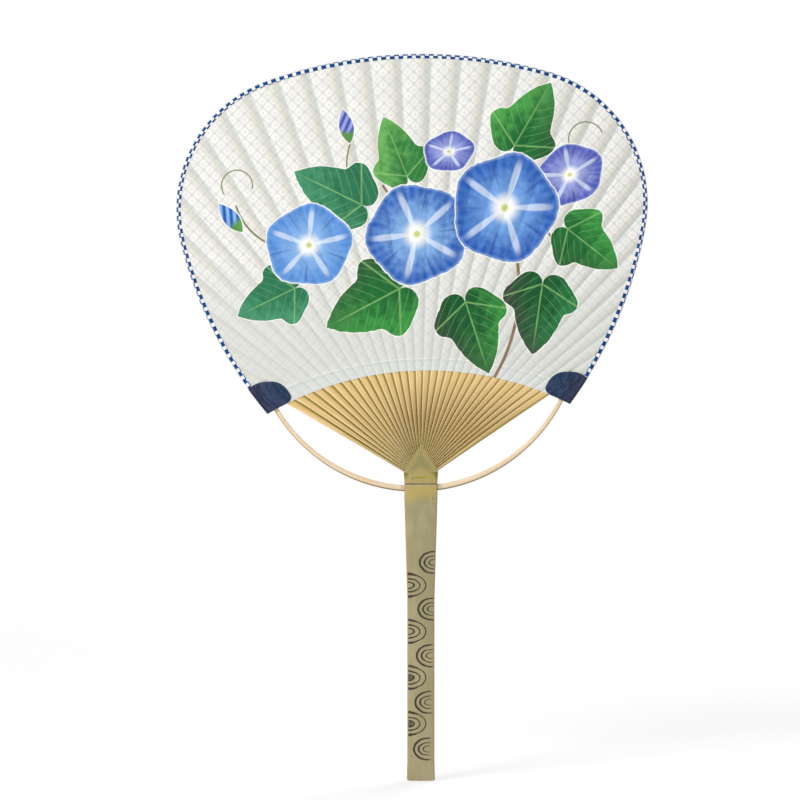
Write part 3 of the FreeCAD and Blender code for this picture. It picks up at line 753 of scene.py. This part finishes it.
def leaf(picture, place, size, turn, squash, deep, light, dusk=0.0):
    """A heart-shaped leaf with three points. Its veins run out from the stalk."""
    x, z, reach, angle = at_motif(place, turn, size, squash)
    bend = abs(angle)
    point = (1 - bend / 0.8).most(0) ** 1.5
    lobe = ((bend - LOBE_ANGLE) * 2.3).cos().most(0) ** 4
    edge = (bend * 0.5).cos() * 0.55 + point * 0.42 + lobe * 0.13 + uneven * 0.05
    lit = (reach * 0.8 + uneven * 1.3 + z * 0.7).between(0.05, 0.95)
    wash = over(lit, light, deep)
    wash = over(fine.between(0.45, 0.8) * 0.2, (20, 84, 40), wash)
    if dusk:
        dim = (reach - z * 0.9 + uneven * 1.2).between(0.35, 1.1)
        wash = over(dim * dusk, (66, 56, 62), wash)
    side = abs(z)
    ribs = (x - side * 0.55 - side * side * 0.75) * 7.5
    ribs = abs(ribs - ribs.whole()).between(0.07, 0.02) * side.between(0.01, 0.08)
    forked = (abs(bend - LOBE_ANGLE) * reach).between(0.018, 0.004)
    veins = side.between(0.017, 0.004).most(forked).most(ribs * 0.5)
    wash = over(veins * (0.55 + fine * 0.5) * reach.between(1.0, 0.5) * 0.7, (150, 202, 122), wash)
    return lay(picture, (edge - reach) * size, wash)


# %% Flowers and buds
def flower(picture, place, size, turn, squash, deep, pale):
    """A round trumpet of five joined petals, with a pale star and a white throat."""
    _, _, reach, angle = at_motif(place, turn, size, squash)
    lobes = (angle * 5).cos()
    edge = 1 + lobes * 0.045 + uneven * 0.08
    streak = ((angle * 31).sin() * 0.5 + 0.5) * (0.4 + fine * 0.6)
    wash = over((reach + uneven * 0.8).between(0.2, 1.0), deep, pale)
    wash = over(streak * reach.between(0.2, 0.7) * 0.28, pale, wash)
    seam = (-lobes).between(0.975, 1.0) * reach.between(0.3, 0.6)
    wash = over(seam * 0.4, (40, 66, 150), wash)
    star = (lobes - reach * 0.38 - 0.56).between(0.0, 0.14) * reach.between(1.04, 0.75)
    wash = over(star * 0.62, (226, 236, 250), wash)
    wash = over(reach.between(0.36, 0.1), (250, 250, 244), wash)
    wash = over(reach.between(0.1, 0.03) * 0.9, (196, 206, 92), wash)
    wash = over((edge - reach).between(0.075, 0.0) * 0.5, (168, 196, 238), wash)
    return lay(picture, (edge - reach) * size, wash)


def bud(picture, place, size, turn, deep, pale):
    """A rolled bud: slim, with the petals wound round it, and green where it leaves the stalk."""
    x, z, _, _ = at_motif(place, turn, size)
    half = (x.most(0).least(1) * math.pi).sin() ** 0.8 * (0.24 - x * 0.06)
    wound = x * 3.2 + z * 4.5
    wash = over(abs(wound - wound.whole()).between(0.1, 0.4), deep, pale)
    wash = over((x + uneven * 0.2).between(0.42, 0.24), (92, 148, 74), wash)
    return lay(picture, (half - abs(z)).least(x).least(1 - x) * size, wash)


# %% Paint the picture
BROWN, VINE = (126, 104, 84), (96, 132, 66)
DEEP, MID, COOL = (18, 84, 42), (26, 104, 48), (40, 116, 80)
BRIGHT, SOFT, GREY_GREEN = (62, 156, 68), (110, 180, 92), (72, 150, 112)
BLUE, VIOLET, SKY = (32, 88, 176), (74, 84, 176), (78, 136, 210)
PALE_BLUE, LILAC = (136, 180, 230), (158, 168, 226)
for stroke in (
    ((-38, 98), 92, -14, 74, 0.75, BROWN),
    ((52, 190), 78, -118, 62, 0.6, BROWN),
    ((30, 92), 50, 62, 80, 0.55, VINE),
    ((-60, 150), 32, -120, 90, 0.5, VINE),
    ((91, 170), 9, 120, 200, 0.32, VINE),
    ((-90, 152), 8, 100, 230, 0.32, VINE),
    ((-1, 160), 32, 175, 32, 0.4, VINE),
):
    picture = stem(picture, *stroke)
for motif in (
    ((66, 96), 38, -100, 0.95, DEEP, (44, 128, 70), 0.7),
    ((80, 124), 34, -40, 0.95, MID, BRIGHT, 0.3),
    ((26, 88), 40, -74, 0.9, DEEP, (54, 146, 64), 0.5),
    ((-62, 98), 34, 204, 0.9, COOL, GREY_GREEN, 0.0),
    ((-8, 96), 44, 206, 0.92, MID, BRIGHT, 0.4),
    ((-26, 140), 40, 152, 0.9, COOL, GREY_GREEN, 0.0),
    ((54, 168), 39, 58, 0.88, MID, (80, 168, 78), 0.3),
    ((-2, 154), 34, 110, 0.85, (48, 124, 60), SOFT, 0.0),
):
    picture = leaf(picture, *motif)
for motif in (
    ((-31, 172), 18, 100, VIOLET, LILAC),
    ((-88, 128), 19, 128, BLUE, PALE_BLUE),
):
    picture = bud(picture, *motif)
for motif in (
    ((20, 166), 13, 10, 0.78, VIOLET, LILAC),
    ((82, 152), 18, 30, 0.82, VIOLET, LILAC),
    ((-54, 120), 22, 12, 0.94, SKY, PALE_BLUE),
    ((2, 124), 26, 40, 0.97, BLUE, PALE_BLUE),
    ((48, 136), 28, 70, 0.95, BLUE, (116, 164, 226)),
):
    picture = flower(picture, *motif)
close_finish(printed, picture, 0.62 + fine * 0.12, paper_relief(spot), 0.2)
print("picture: eight leaves, five flowers and two buds")

# %% [markdown]
# ### The back
# The reverse is left plain: white paper with faint clouds and fibres. It could take the printed
# finish without its picture, but a finish of its own needs far fewer nodes. The shade beside the
# ribs is mirrored, because the back is seen from the other side.

# %% Plain paper for the back
plain, spot = open_finish("plain paper", True)
u, _, w = parts(spot)
mottled = grain(spot, (0.09, 0.09, 0.09), 3.0, 0.6)
colour = over(mottled.between(0.3, 0.75), (240, 239, 232), (229, 228, 220))
fibres = grain(spot, (0.5, 0.5, 4.0), 3.0, 0.7).between(0.6, 0.8)
colour = painted_paper_shade(over(fibres * 0.25, (222, 218, 204), colour), -u, w)
close_finish(plain, colour, 0.64 + mottled * 0.1, paper_relief(spot), 0.2)

# %% Both sheets
front_sheet = grow("front_sheet", sheet_tree("Front sheet", printed), sheet_sizes)
back_sheet = grow("back_sheet", sheet_tree("Back sheet", plain), {**sheet_sizes, "Side": 1.0})

# %% [markdown]
# ## The strip on the rim
# A narrow strip of checked paper is folded over the rim and pasted down on both faces. A curve
# could carry a profile round the rim, but the checks must not stretch, so the strip is a thin block
# whose columns are true lengths along the rim: each arc takes over where the last one ends. The rows
# of checks drift outward away from the crown, because the strip was folded by hand.

# %% Checked paper
# The length of a blue and a white check, the width of a row, and where the first row ends
CHECK_PITCH, ROW_WIDTH, FIRST_ROW = 4.5, 1.9, 1.05
# Where the rows lie furthest in, and the lengths to right and left of it that move them out by 1 mm
DRIFT_FROM, RIGHT_RUN, LEFT_RUN = 27, 77, 96
checked, spot = open_finish("checked paper", True)
along, inset = read(spot, "along", "inset")
away = along - DRIFT_FROM
drift = (away / RIGHT_RUN).most(away / -LEFT_RUN) + (along * 0.043).sin() * 0.06
fine_print = grain(spot, (1.6, 1.6, 1.6), 2.0)
rough = fine_print - 0.5
rows = (abs(inset) + drift - FIRST_ROW + rough * 0.15) / ROW_WIDTH
column = (along + rough * 0.3) / CHECK_PITCH + rows.floor() * 0.5
column = column - column.floor()
check = abs(column - 0.29).between(0.305, 0.275)
blue = over(fine_print.between(0.3, 0.7), (0, 72, 140), (0, 56, 118))
colour = over(check, blue, (236, 238, 240))
# A painted shade along the fold over the rim.
colour = over(abs(inset).between(0.32, 0.05) * 0.5, (172, 184, 206), colour)
close_finish(checked, colour, 0.6 + fine_print * 0.1, fine_print * 0.03, 0.2)

# %% The tree of the strip
FOLD_DEPTH, RIM_GAP, PASTE = 0.5, 0.04, 0.03
CROWN_LENGTH = CROWN[2] * CROWN_END
SHOULDER_LENGTH = SHOULDER[2] * (SHOULDER_END - CROWN_END)
strip_sizes = {
    "Columns": 700,
    "Rows": 15,
    "Half length": 266.5,
    "Width": 2.25,
    "Thickness": 0.14,
    "Fold": 0.16,
}
tree, size = open_tree("Rim strip", strip_sizes)
block, (px, py, pz) = open_block(tree, size)
length = px * size["Half length"] * 2
way = abs(length)
# The rim turns about the middle of the crown, then of the shoulder, then of the side
turn_1 = (way / CROWN[2]).least(CROWN_END)
turn_2 = turn_1 + ((way - CROWN_LENGTH) / SHOULDER[2]).most(0).least(SHOULDER_END - CROWN_END)
turn_3 = turn_2 + ((way - CROWN_LENGTH - SHOULDER_LENGTH) / SIDE[2]).most(0)
layer = size["Thickness"] * (0.5 - py)
share = abs(pz) * 2
fold = (share / size["Fold"]).least(1.0) * (math.pi / 2)
past_fold = (share - size["Fold"]).most(0) / (1 - size["Fold"])
inset = (1 - fold.cos()) * FOLD_DEPTH + past_fold * (size["Width"] - FOLD_DEPTH)
inset = inset - RIM_GAP - layer * fold.cos()
bent = CROWN[2] - SHOULDER[2], SHOULDER[2] - SIDE[2]
side = turn_1.sin() * bent[0] + turn_2.sin() * bent[1] + turn_3.sin() * (SIDE[2] - inset)
up = turn_1.cos() * bent[0] + turn_2.cos() * bent[1] + turn_3.cos() * (SIDE[2] - inset) + CROWN[1]
x = side * length.sign()
angle = x.arctan(up)
distance = (x * x + up * up).root()
height = paper_height(x, up, angle, rib_number(angle), distance) + PASTE
y = (height + layer) * fold.sin() * pz.sign()
strip = store(block, "along", length)
strip = store(strip, "inset", inset * pz.sign())
close_tree(set_points(strip, x, y, up), checked)
binding = grow("rim_strip", tree, strip_sizes)

# %% [markdown]
# ## The ears
# Each lower corner is covered by an ear: a small patch of dark blue paper, folded round the rim,
# that hides the tied end of the bow. Its tongue is cut round by hand. The outline is filled with an
# even net of points, so that the paper can swell over the bow and crease towards the fold, and the
# two tongues and the fold between them are one sheet, given its thickness at the end.

# %% Dark blue paper
UPWARD, INWARD = Vector((0.5894, 0.8079)), Vector((-0.8079, 0.5894))
navy, spot = open_finish("dark blue paper", True)
u, depth, w = parts(spot)
aside, above = abs(u) - CORNER[0], w - CORNER[1]
inward = aside * INWARD.x + above * INWARD.y
upward = aside * UPWARD.x + above * UPWARD.y
pleats = inward - abs(upward - 6) * 0.22
sockets = {0: pleats * 0.36, 1: depth, 2: upward * 0.07 + u * 0.05}
pulled = spot.node("ShaderNodeCombineXYZ", {}, sockets)
creases = grain(pulled, (1.0, 0.3, 1.0), 2.0, 0.55)
worn = grain(spot, (0.2, 0.2, 0.2), 3.0, 0.65)
colour = over(worn.between(0.35, 0.65), (32, 58, 90), (24, 48, 80))
colour = over((inward + (worn - 0.5) * 14).between(8.0, 2.0) * 0.55, (60, 56, 82), colour)
# A painted highlight on the ridges of the creases.
colour = over(creases.between(0.53, 0.62) * 0.4, (66, 70, 98), colour)
# Painted shade in the thin lines of the creases, which also sink the height.
shaded_creases = abs(creases - 0.47).between(0.04, 0.0)
colour = over(shaded_creases * 0.85, (12, 20, 46), colour)
flecks = grain(spot, (2.5, 2.5, 2.5), 2.0).between(0.55, 0.8)
colour = over(flecks * 0.25, (66, 86, 112), colour)
# A painted shade along the fold over the rim.
colour = over(inward.between(1.5, 0.2) * 0.6, (16, 22, 48), colour)
close_finish(navy, colour, 0.5 + worn * 0.2, creases * 0.9 - shaded_creases * 0.12 + worn * 0.12, 0.25)

# %% The outline of an ear
EAR_LENGTH, EAR_DEPTH = 16.0, 15.3
SIDE_MIDDLE = Vector(SIDE[:2])
TONGUE_CURVES = (
    ((1.01, 0.0), (0.98, 0.36), (0.81, 0.67)),
    ((0.81, 0.67), (0.55, 0.94), (0.10, 1.0)),
    ((0.10, 1.0), (-0.07, 0.92), (-0.10, 0.72)),
)


def ear_point(along, deep):
    """A place on the ear, in shares of its length along the rim and of its depth."""
    return Vector(CORNER) + UPWARD * (EAR_LENGTH * along) + INWARD * (EAR_DEPTH * deep)


def lower_edge_point(x):
    """The place on the paper's lower edge that lies x aside of the middle line."""
    return Vector((x, LOWER_EDGE[0] + math.sqrt(LOWER_EDGE[1] ** 2 - x * x)))


def arc_points(start, middle, end, count):
    """Points of the arc through three points, without its last one."""
    (ax, ay), (bx, by), (cx, cy) = start, middle, end
    d = 2 * (ax * (by - cy) + bx * (cy - ay) + cx * (ay - by))
    a2, b2, c2 = ax * ax + ay * ay, bx * bx + by * by, cx * cx + cy * cy
    ox = (a2 * (by - cy) + b2 * (cy - ay) + c2 * (ay - by)) / d
    oy = (a2 * (cx - bx) + b2 * (ax - cx) + c2 * (bx - ax)) / d
    first, last = (math.atan2(p[1] - oy, p[0] - ox) for p in (start, end))
    sweep = (last - first + math.pi) % (2 * math.pi) - math.pi
    radius = math.hypot(ax - ox, ay - oy)
    turns = [first + sweep * step / count for step in range(count)]
    return [Vector((ox + radius * math.cos(t), oy + radius * math.sin(t))) for t in turns]


def ear_outline():
    """The fold from the corner up, then the tongue, then back along the paper's lower edge."""
    top = ear_point(*TONGUE_CURVES[0][0])
    middle = SIDE_MIDDLE + (ear_point(0.5, 0) - SIDE_MIDDLE).normalized() * SIDE[2]
    fold = arc_points(Vector(CORNER), middle, top, 26)
    tongue = []
    for curve in TONGUE_CURVES:
        tongue += arc_points(*[ear_point(*shares) for shares in curve], 18)
    tongue = [p for p in tongue if p.y > lower_edge_point(p.x).y + 0.05]
    last = tongue[-1].x
    edge = [lower_edge_point(last + (CORNER[0] - last) * step / 24) for step in range(24)]
    return fold, tongue + edge


ear_fold, ear_rest = ear_outline()
print("ear outline:", len(ear_fold), "points on the fold and", len(ear_rest), "round the tongue")

# %% A net of points inside the outline
NET_STEP, NET_ROW = 0.55, 0.87


def fill(loop):
    """The points and triangles of an even net inside an outline."""
    low = Vector((min(p.x for p in loop), min(p.y for p in loop)))
    high = Vector((max(p.x for p in loop), max(p.y for p in loop)))
    net = [
        Vector((low.x + NET_STEP * (i + 0.5 * (j % 2)), low.y + NET_STEP * NET_ROW * j))
        for i in range(int((high.x - low.x) / NET_STEP))
        for j in range(int((high.y - low.y) / NET_STEP / NET_ROW))
    ]
    edges = [(i, (i + 1) % len(loop)) for i in range(len(loop))]
    points, _, faces, *_ = delaunay_2d_cdt(loop + net, edges, [], 1, 1e-4)
    return points, faces


def nearest(point):
    """The number of the net's point that lies nearest to a place."""
    return min(range(len(ear_points)), key=lambda i: (ear_points[i] - point).length)


ear_points, ear_faces = fill(ear_fold + ear_rest)
ear_rim = [nearest(point) for point in ear_fold + ear_rest[:1]]
print("ear net:", len(ear_points), "points and", len(ear_faces), "triangles")

# %% Ears as folded sheets
EAR_LEVEL, FOLD_BULGE = 0.86, 0.3


def ear_height(point):
    """Height of the ear over the middle of the fan: raised over the bow, pleated and crumpled."""
    over_bow = (math.hypot(point.x, point.y - BOW[0]) - BOW[1]) / 2.6
    deep = (point - Vector(CORNER)).dot(INWARD)
    high = (point - Vector(CORNER)).dot(UPWARD)
    pleat = 0.10 * math.sin(deep * 2.1 + high * 0.5) * math.exp(-((deep - 4.5) / 3.5) ** 2)
    crumple = 0.05 * math.sin(high * 1.7 - deep * 0.9) + 0.04 * math.sin(deep * 1.3 + high * 2.3)
    return EAR_LEVEL + 0.5 * math.exp(-over_bow * over_bow) + pleat + crumple


def on_stick(x, y, z):
    """A place on the head, in metres, once the head leans on its stick."""
    aside = x * math.cos(LEAN) - z * math.sin(LEAN)
    above = x * math.sin(LEAN) + z * math.cos(LEAN)
    return Vector((aside, y, above)) * MM + Vector((0, 0, FAN_CENTRE * MM))


def make_ear(name, hand):
    """A tongue on the front, one on the back, and the fold that joins them round the rim."""
    places, polygons = [], []
    for side in (-1, 1):
        first = len(places)
        for point in ear_points:
            places.append((point.x * hand, side * ear_height(point), point.y))
        polygons += [[first + i for i in face] for face in ear_faces]
    bands = [ear_rim]
    for share in (-0.5, 0.0, 0.5):
        first = len(places)
        bulge = FOLD_BULGE * (1 - share * share * 2)
        for point in (ear_points[i] for i in ear_rim):
            out = point + (point - SIDE_MIDDLE).normalized() * bulge
            places.append((out.x * hand, share * ear_height(point), out.y))
        bands.append(list(range(first, first + len(ear_rim))))
    bands.append([i + len(ear_points) for i in ear_rim])
    for near, far in zip(bands, bands[1:]):
        for i in range(len(ear_rim) - 1):
            polygons.append([near[i], near[i + 1], far[i + 1], far[i]])
    mesh = bpy.data.meshes.new(name)
    mesh.from_pydata([on_stick(*place) for place in places], [], polygons)
    mesh.materials.append(navy)
    return add(name, mesh)


# %% [markdown]
# The net's triangles come out facing either way, so the normals are made to agree before the sheet
# gets its thickness. The Solidify modifier then adds the inner face and the cut edge.

# %% Thickness of the ears
def thicken(piece, thickness):
    """Turns a sheet's faces outwards and gives it a thickness inwards."""
    work = bmesh.new()
    work.from_mesh(piece.data)
    bmesh.ops.remove_doubles(work, verts=work.verts, dist=1e-7)
    bmesh.ops.recalc_face_normals(work, faces=work.faces)
    front = [f for f in work.faces if abs(f.normal.y) > 0.5 and f.calc_center_median().y < 0]
    if sum(f.normal.y for f in front) > 0:
        bmesh.ops.reverse_faces(work, faces=work.faces)
    for face in work.faces:
        face.smooth = True
    work.to_mesh(piece.data)
    work.free()
    wall = piece.modifiers.new("Wall", "SOLIDIFY")
    wall.thickness = thickness
    wall.offset = -1.0
    settle(piece, wall)


EAR_THICKNESS = 0.15
left_ear, right_ear = make_ear("ear_left", -1), make_ear("ear_right", 1)
for ear in (left_ear, right_ear):
    thicken(ear, EAR_THICKNESS * MM)

# %% [markdown]
# ## The bow and the thread
# The bow is a bamboo rod, scraped round and bent, and its drawn shape is right. Its fibres run
# along the bend, so the finish measures the way round the bow's own middle instead of straight up.
# The thread and its ties are hidden by the paper, and get plain cotton.

# %% Scraped bamboo for the bow
scraped, spot = open_finish("scraped bamboo", True)
u, depth, w = parts(spot)
from_middle = off_arc(u, w, BOW)
way = u.arctan(BOW[0] - w) * BOW[1]
drawn = spot.node("ShaderNodeCombineXYZ", {}, {0: way, 1: depth, 2: from_middle})
fibre = grain(drawn, (0.06, 3.2, 3.2), 3.0, 0.65)
patch = grain(drawn, (0.05, 0.4, 0.4), 2.0)
colour = over(patch.between(0.35, 0.7), (238, 215, 184), (229, 205, 170))
colour = over(fibre.between(0.5, 0.78) * 0.25, (208, 178, 134), colour)
# A painted shade on the lower side of the bow.
colour = over(from_middle.between(0.55, 1.15) * 0.9, (132, 118, 72), colour)
# A painted shadow where the bow enters the handle.
colour = over(abs(u).between(11.6, 9.6) * 0.45, (158, 150, 118), colour)
close_finish(scraped, colour, 0.5 + fibre * 0.15, fibre * 0.015, 0.25)
dress("bow", scraped)

# %% Cotton for the thread
cotton, spot = open_finish("cotton", True)
ply = grain(spot, (6.0, 6.0, 6.0), 2.0)
colour = over(ply, (244, 240, 228), (214, 206, 188))
close_finish(cotton, colour, 0.85 + ply * 0.1, ply * 0.03, 0.15)
for name in ("weaving_thread", "left_tie", "right_tie"):
    dress(name, cotton)

# %% [markdown]
# ## Joining the frame
# Every new piece rides on the fan's one body and stands for the nodes that it replaces. The two
# sheets are pasted flat over the ribs, and the strip and the ears are pasted onto them.

# %% Ride and replace
rib_names = sorted(name for name in nodes if name.startswith("rib_"))
for piece, slot, replaced in (
    (ribs, "rib_bamboo", rib_names),
    (front_sheet, "front_paper", ["front_paper"]),
    (back_sheet, "back_paper", ["back_paper"]),
    (binding, "binding_paper", ["edge_binding"]),
    (left_ear, "ear_paper", ["left_ear"]),
    (right_ear, "ear_paper", ["right_ear"]),
):
    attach(piece, "root")
    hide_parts(*replaced)
    print(piece.name, "stands for", len(replaced), "of the drawn pieces")

# %% [markdown]
# ## Floor, light and camera
# The fan stands on a plain white floor under soft light from the upper left, which draws the folds
# of the paper. A lamp behind keeps the back readable. The floor and the sky are white to the
# camera, and the floor keeps the soft shadow. The camera looks straight at the front of the fan
# through a long lens, which keeps the shape true.

# %% Floor
FLOOR_HALF, FLOOR_DROP = 9, 0.0004
WHITE = (1, 1, 1, 1)


def seen_directly(wire):
    """1 for what the camera sees itself, in a mirror or through glass."""
    rays = wire.node("ShaderNodeLightPath").socket.node.outputs
    names = ("Is Camera Ray", "Is Glossy Ray", "Is Transmission Ray")
    camera, mirror, glass = (Wire(wire.tree, rays[name]) for name in names)
    return camera.most(mirror).most(glass)


floor_mesh = bpy.data.meshes.new("floor")
corners = [(FLOOR_HALF * x, FLOOR_HALF * y, 0) for x, y in ((-1, -1), (1, -1), (1, 1), (-1, 1))]
floor_mesh.from_pydata(corners, [], [(0, 1, 2, 3)])
floor = add("floor", floor_mesh)
floor.location.z = -FLOOR_DROP
ground = bpy.data.materials.new("white floor")
start = bare(ground)
matt = start.node("ShaderNodeBsdfDiffuse", {}, {"Color": (0.9, 0.9, 0.9, 1)})
glow = start.node("ShaderNodeEmission", {}, {"Color": WHITE, "Strength": 1.0})
place = start.node("ShaderNodeTexCoord", out="Object")
away = place.node("ShaderNodeVectorMath", {"operation": "LENGTH"}, {0: place}, "Value").between(0.25, 1.2)
share = seen_directly(start) * (0.7 + away * 0.3)
mixed = start.node("ShaderNodeMixShader", {}, {0: share, 1: matt, 2: glow})
start.node("ShaderNodeOutputMaterial", {}, {"Surface": mixed})
floor_mesh.materials.append(ground)
print("floor:", FLOOR_HALF * 2, "m wide, white to the camera")

# %% Sky
sky = bpy.data.worlds.new("white sky")
start = bare(sky)
dim = start.node("ShaderNodeBackground", {}, {"Color": WHITE, "Strength": 0.38})
white = start.node("ShaderNodeBackground", {}, {"Color": WHITE, "Strength": 1.0})
mixed = start.node("ShaderNodeMixShader", {}, {0: seen_directly(start), 1: dim, 2: white})
start.node("ShaderNodeOutputWorld", {}, {"Surface": mixed})
scene.world = sky
print("sky: white to the camera, dim to the fan")

# %% Lamps
AIM = Vector((0, 0, 0.25))


def lamp(name, place, size, power):
    """A square soft lamp that looks at the head."""
    data = bpy.data.lights.new(name, "AREA")
    data.size = size
    data.energy = power
    made = add(name, data)
    made.location = place
    made.rotation_euler = (AIM - Vector(place)).to_track_quat("-Z", "Y").to_euler()
    print(name, "lamp:", power, "W from a square of", size, "m")


lamp("key", (-1.05, -0.95, 1.25), 0.55, 23)
lamp("back", (0.9, 1.3, 1.1), 0.9, 22)

# %% Camera
VIEW_WIDTH, VIEW_ASIDE, VIEW_UP = 0.4136, -0.0108, 0.1964
camera_data = bpy.data.cameras.new("camera")
camera_data.lens = 100
camera_data.sensor_width = 36
back = VIEW_WIDTH * camera_data.lens / camera_data.sensor_width
camera = add("camera", camera_data)
camera.location = (VIEW_ASIDE, -back, VIEW_UP)
camera.rotation_euler = (math.pi / 2, 0, 0)
scene.camera = camera
scene.view_settings.view_transform = "Standard"
print("camera:", round(back, 3), "m in front of the fan")
